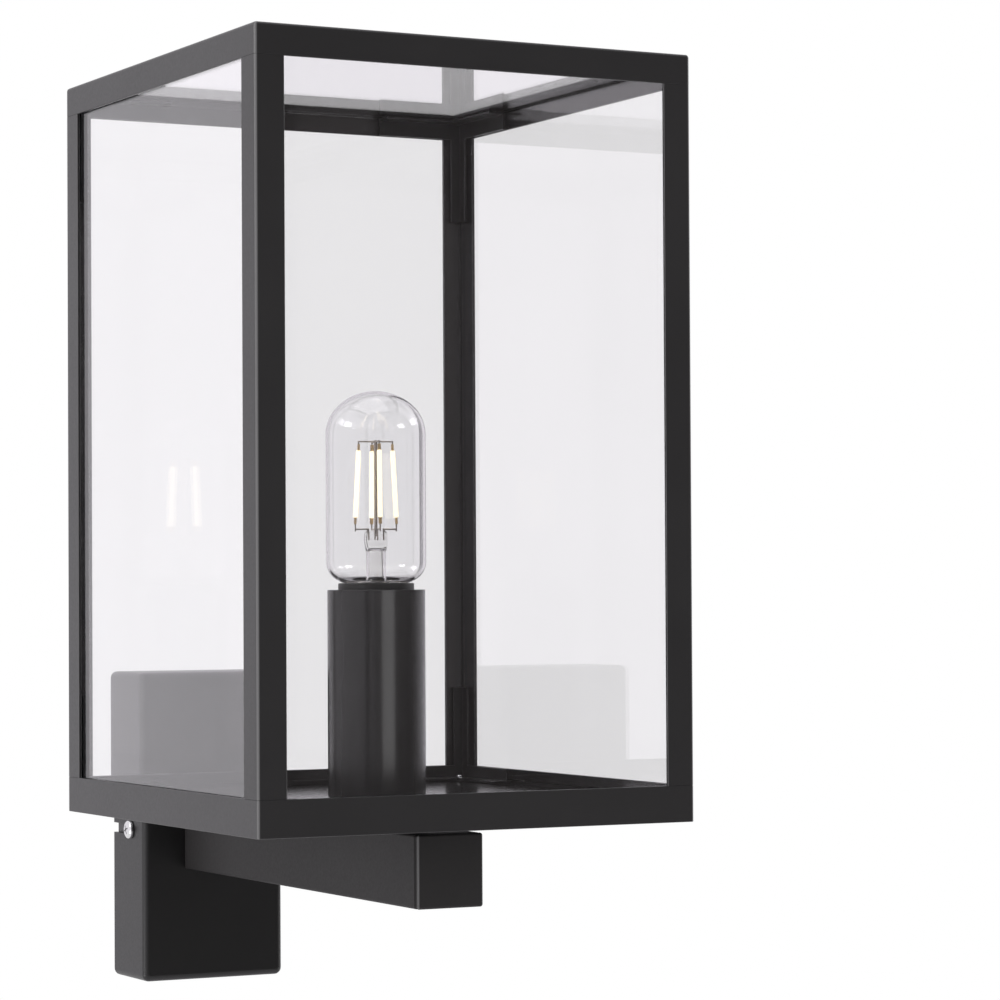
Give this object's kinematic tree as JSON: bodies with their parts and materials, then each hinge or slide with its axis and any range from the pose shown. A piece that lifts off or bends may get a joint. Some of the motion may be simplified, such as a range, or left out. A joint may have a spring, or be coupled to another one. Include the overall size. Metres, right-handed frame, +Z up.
{
  "type": "outdoor wall lantern",
  "caption": "Square glazed wall lantern on a short arm from a wall box, with a lift-off cage over a screw-in bulb in a sleeved lamp holder.",
  "frame": {"origin": "middle of the wall bracket's back face, on the wall", "axes": "+Y into the wall, +Z up, +X to the right as seen from the front"},
  "size_m": [0.21, 0.319, 0.4263],
  "materials": {
    "black_paint": "satin black powder coat",
    "zinc_plate": "zinc-plated",
    "screw_steel": "bright stainless",
    "cap_nickel": "bright nickel",
    "holder_brass": "plain",
    "pane_glass": "clear float glass",
    "bulb_glass": "clear blown glass",
    "filament": "yellow phosphor",
    "black_plastic": "moulded",
    "white_plastic": "moulded",
    "lead_brown": "silicone insulation",
    "lead_blue": "silicone insulation",
    "lead_green": "green and yellow insulation"
  },
  "bodies": {
    "bracket": {"wall_bracket": "black_paint", "side_screw_left": "screw_steel", "side_screw_right": "screw_steel"},
    "lamp": {"wall_box": "black_paint", "arm": "black_paint", "arm_end_cap": "black_paint", "arm_foot_plug": "zinc_plate", "foot_screw_lower": "screw_steel", "foot_screw_upper": "screw_steel", "terminal_block": "white_plastic", "earth_stud": "holder_brass", "live_lead": "lead_brown", "neutral_lead": "lead_blue", "earth_lead": "lead_green", "arm_spacer": "black_paint", "base_plate": "black_paint", "lamp_tube": "zinc_plate", "tube_nut_lower": "zinc_plate", "tube_nut_upper": "zinc_plate", "holder_sleeve": "black_paint", "holder_insert": "black_plastic", "holder_shell": "holder_brass", "holder_contact": "holder_brass", "cage_screw_front_left": "screw_steel", "cage_screw_front_right": "screw_steel", "cage_screw_rear_left": "screw_steel", "cage_screw_rear_right": "screw_steel"},
    "cage": {"post_front_left": "black_paint", "post_front_right": "black_paint", "post_rear_left": "black_paint", "post_rear_right": "black_paint", "top_rail_front": "black_paint", "top_rail_right": "black_paint", "top_rail_rear": "black_paint", "top_rail_left": "black_paint", "bottom_rail_front": "black_paint", "bottom_rail_right": "black_paint", "bottom_rail_rear": "black_paint", "bottom_rail_left": "black_paint", "pane_front": "pane_glass", "pane_right": "pane_glass", "pane_rear": "pane_glass", "pane_left": "pane_glass", "pane_top": "pane_glass", "clip_top_rear_left": "black_paint", "clip_top_rear_right": "black_paint", "clip_bottom_front_left": "black_paint", "clip_bottom_front_right": "black_paint", "clip_bottom_rear_left": "black_paint", "clip_bottom_rear_right": "black_paint"},
    "bulb_carrier": {"bulb_tip": "black_plastic"},
    "bulb": {"bulb_cap": "cap_nickel", "bulb_glass": "bulb_glass", "bulb_stem": "bulb_glass", "led_filament_1": "filament", "led_filament_2": "filament", "led_filament_3": "filament", "led_filament_4": "filament"}
  },
  "joints": [
    {"name": "box_pull_off", "type": "slide", "parent": "bracket", "child": "lamp", "axis": [0, -1, 0], "range_m": [0, 0.045]},
    {"name": "cage_lift", "type": "slide", "parent": "lamp", "child": "cage", "axis": [0, 0, 1], "range_m": [0, 0.2]},
    {"name": "bulb_rise", "type": "slide", "parent": "lamp", "child": "bulb_carrier", "axis": [0, 0, 1], "range_m": [0, 0.0146]},
    {"name": "bulb_turn", "type": "hinge", "parent": "bulb_carrier", "child": "bulb", "pos_m": [0, -0.218, 0.1], "axis": [0, 0, 1], "range_deg": [0, 1440]}
  ],
  "couplings": [
    {"joint": "bulb_rise", "follows": "bulb_turn", "m_per_rad": 0.00057742}
  ]
}
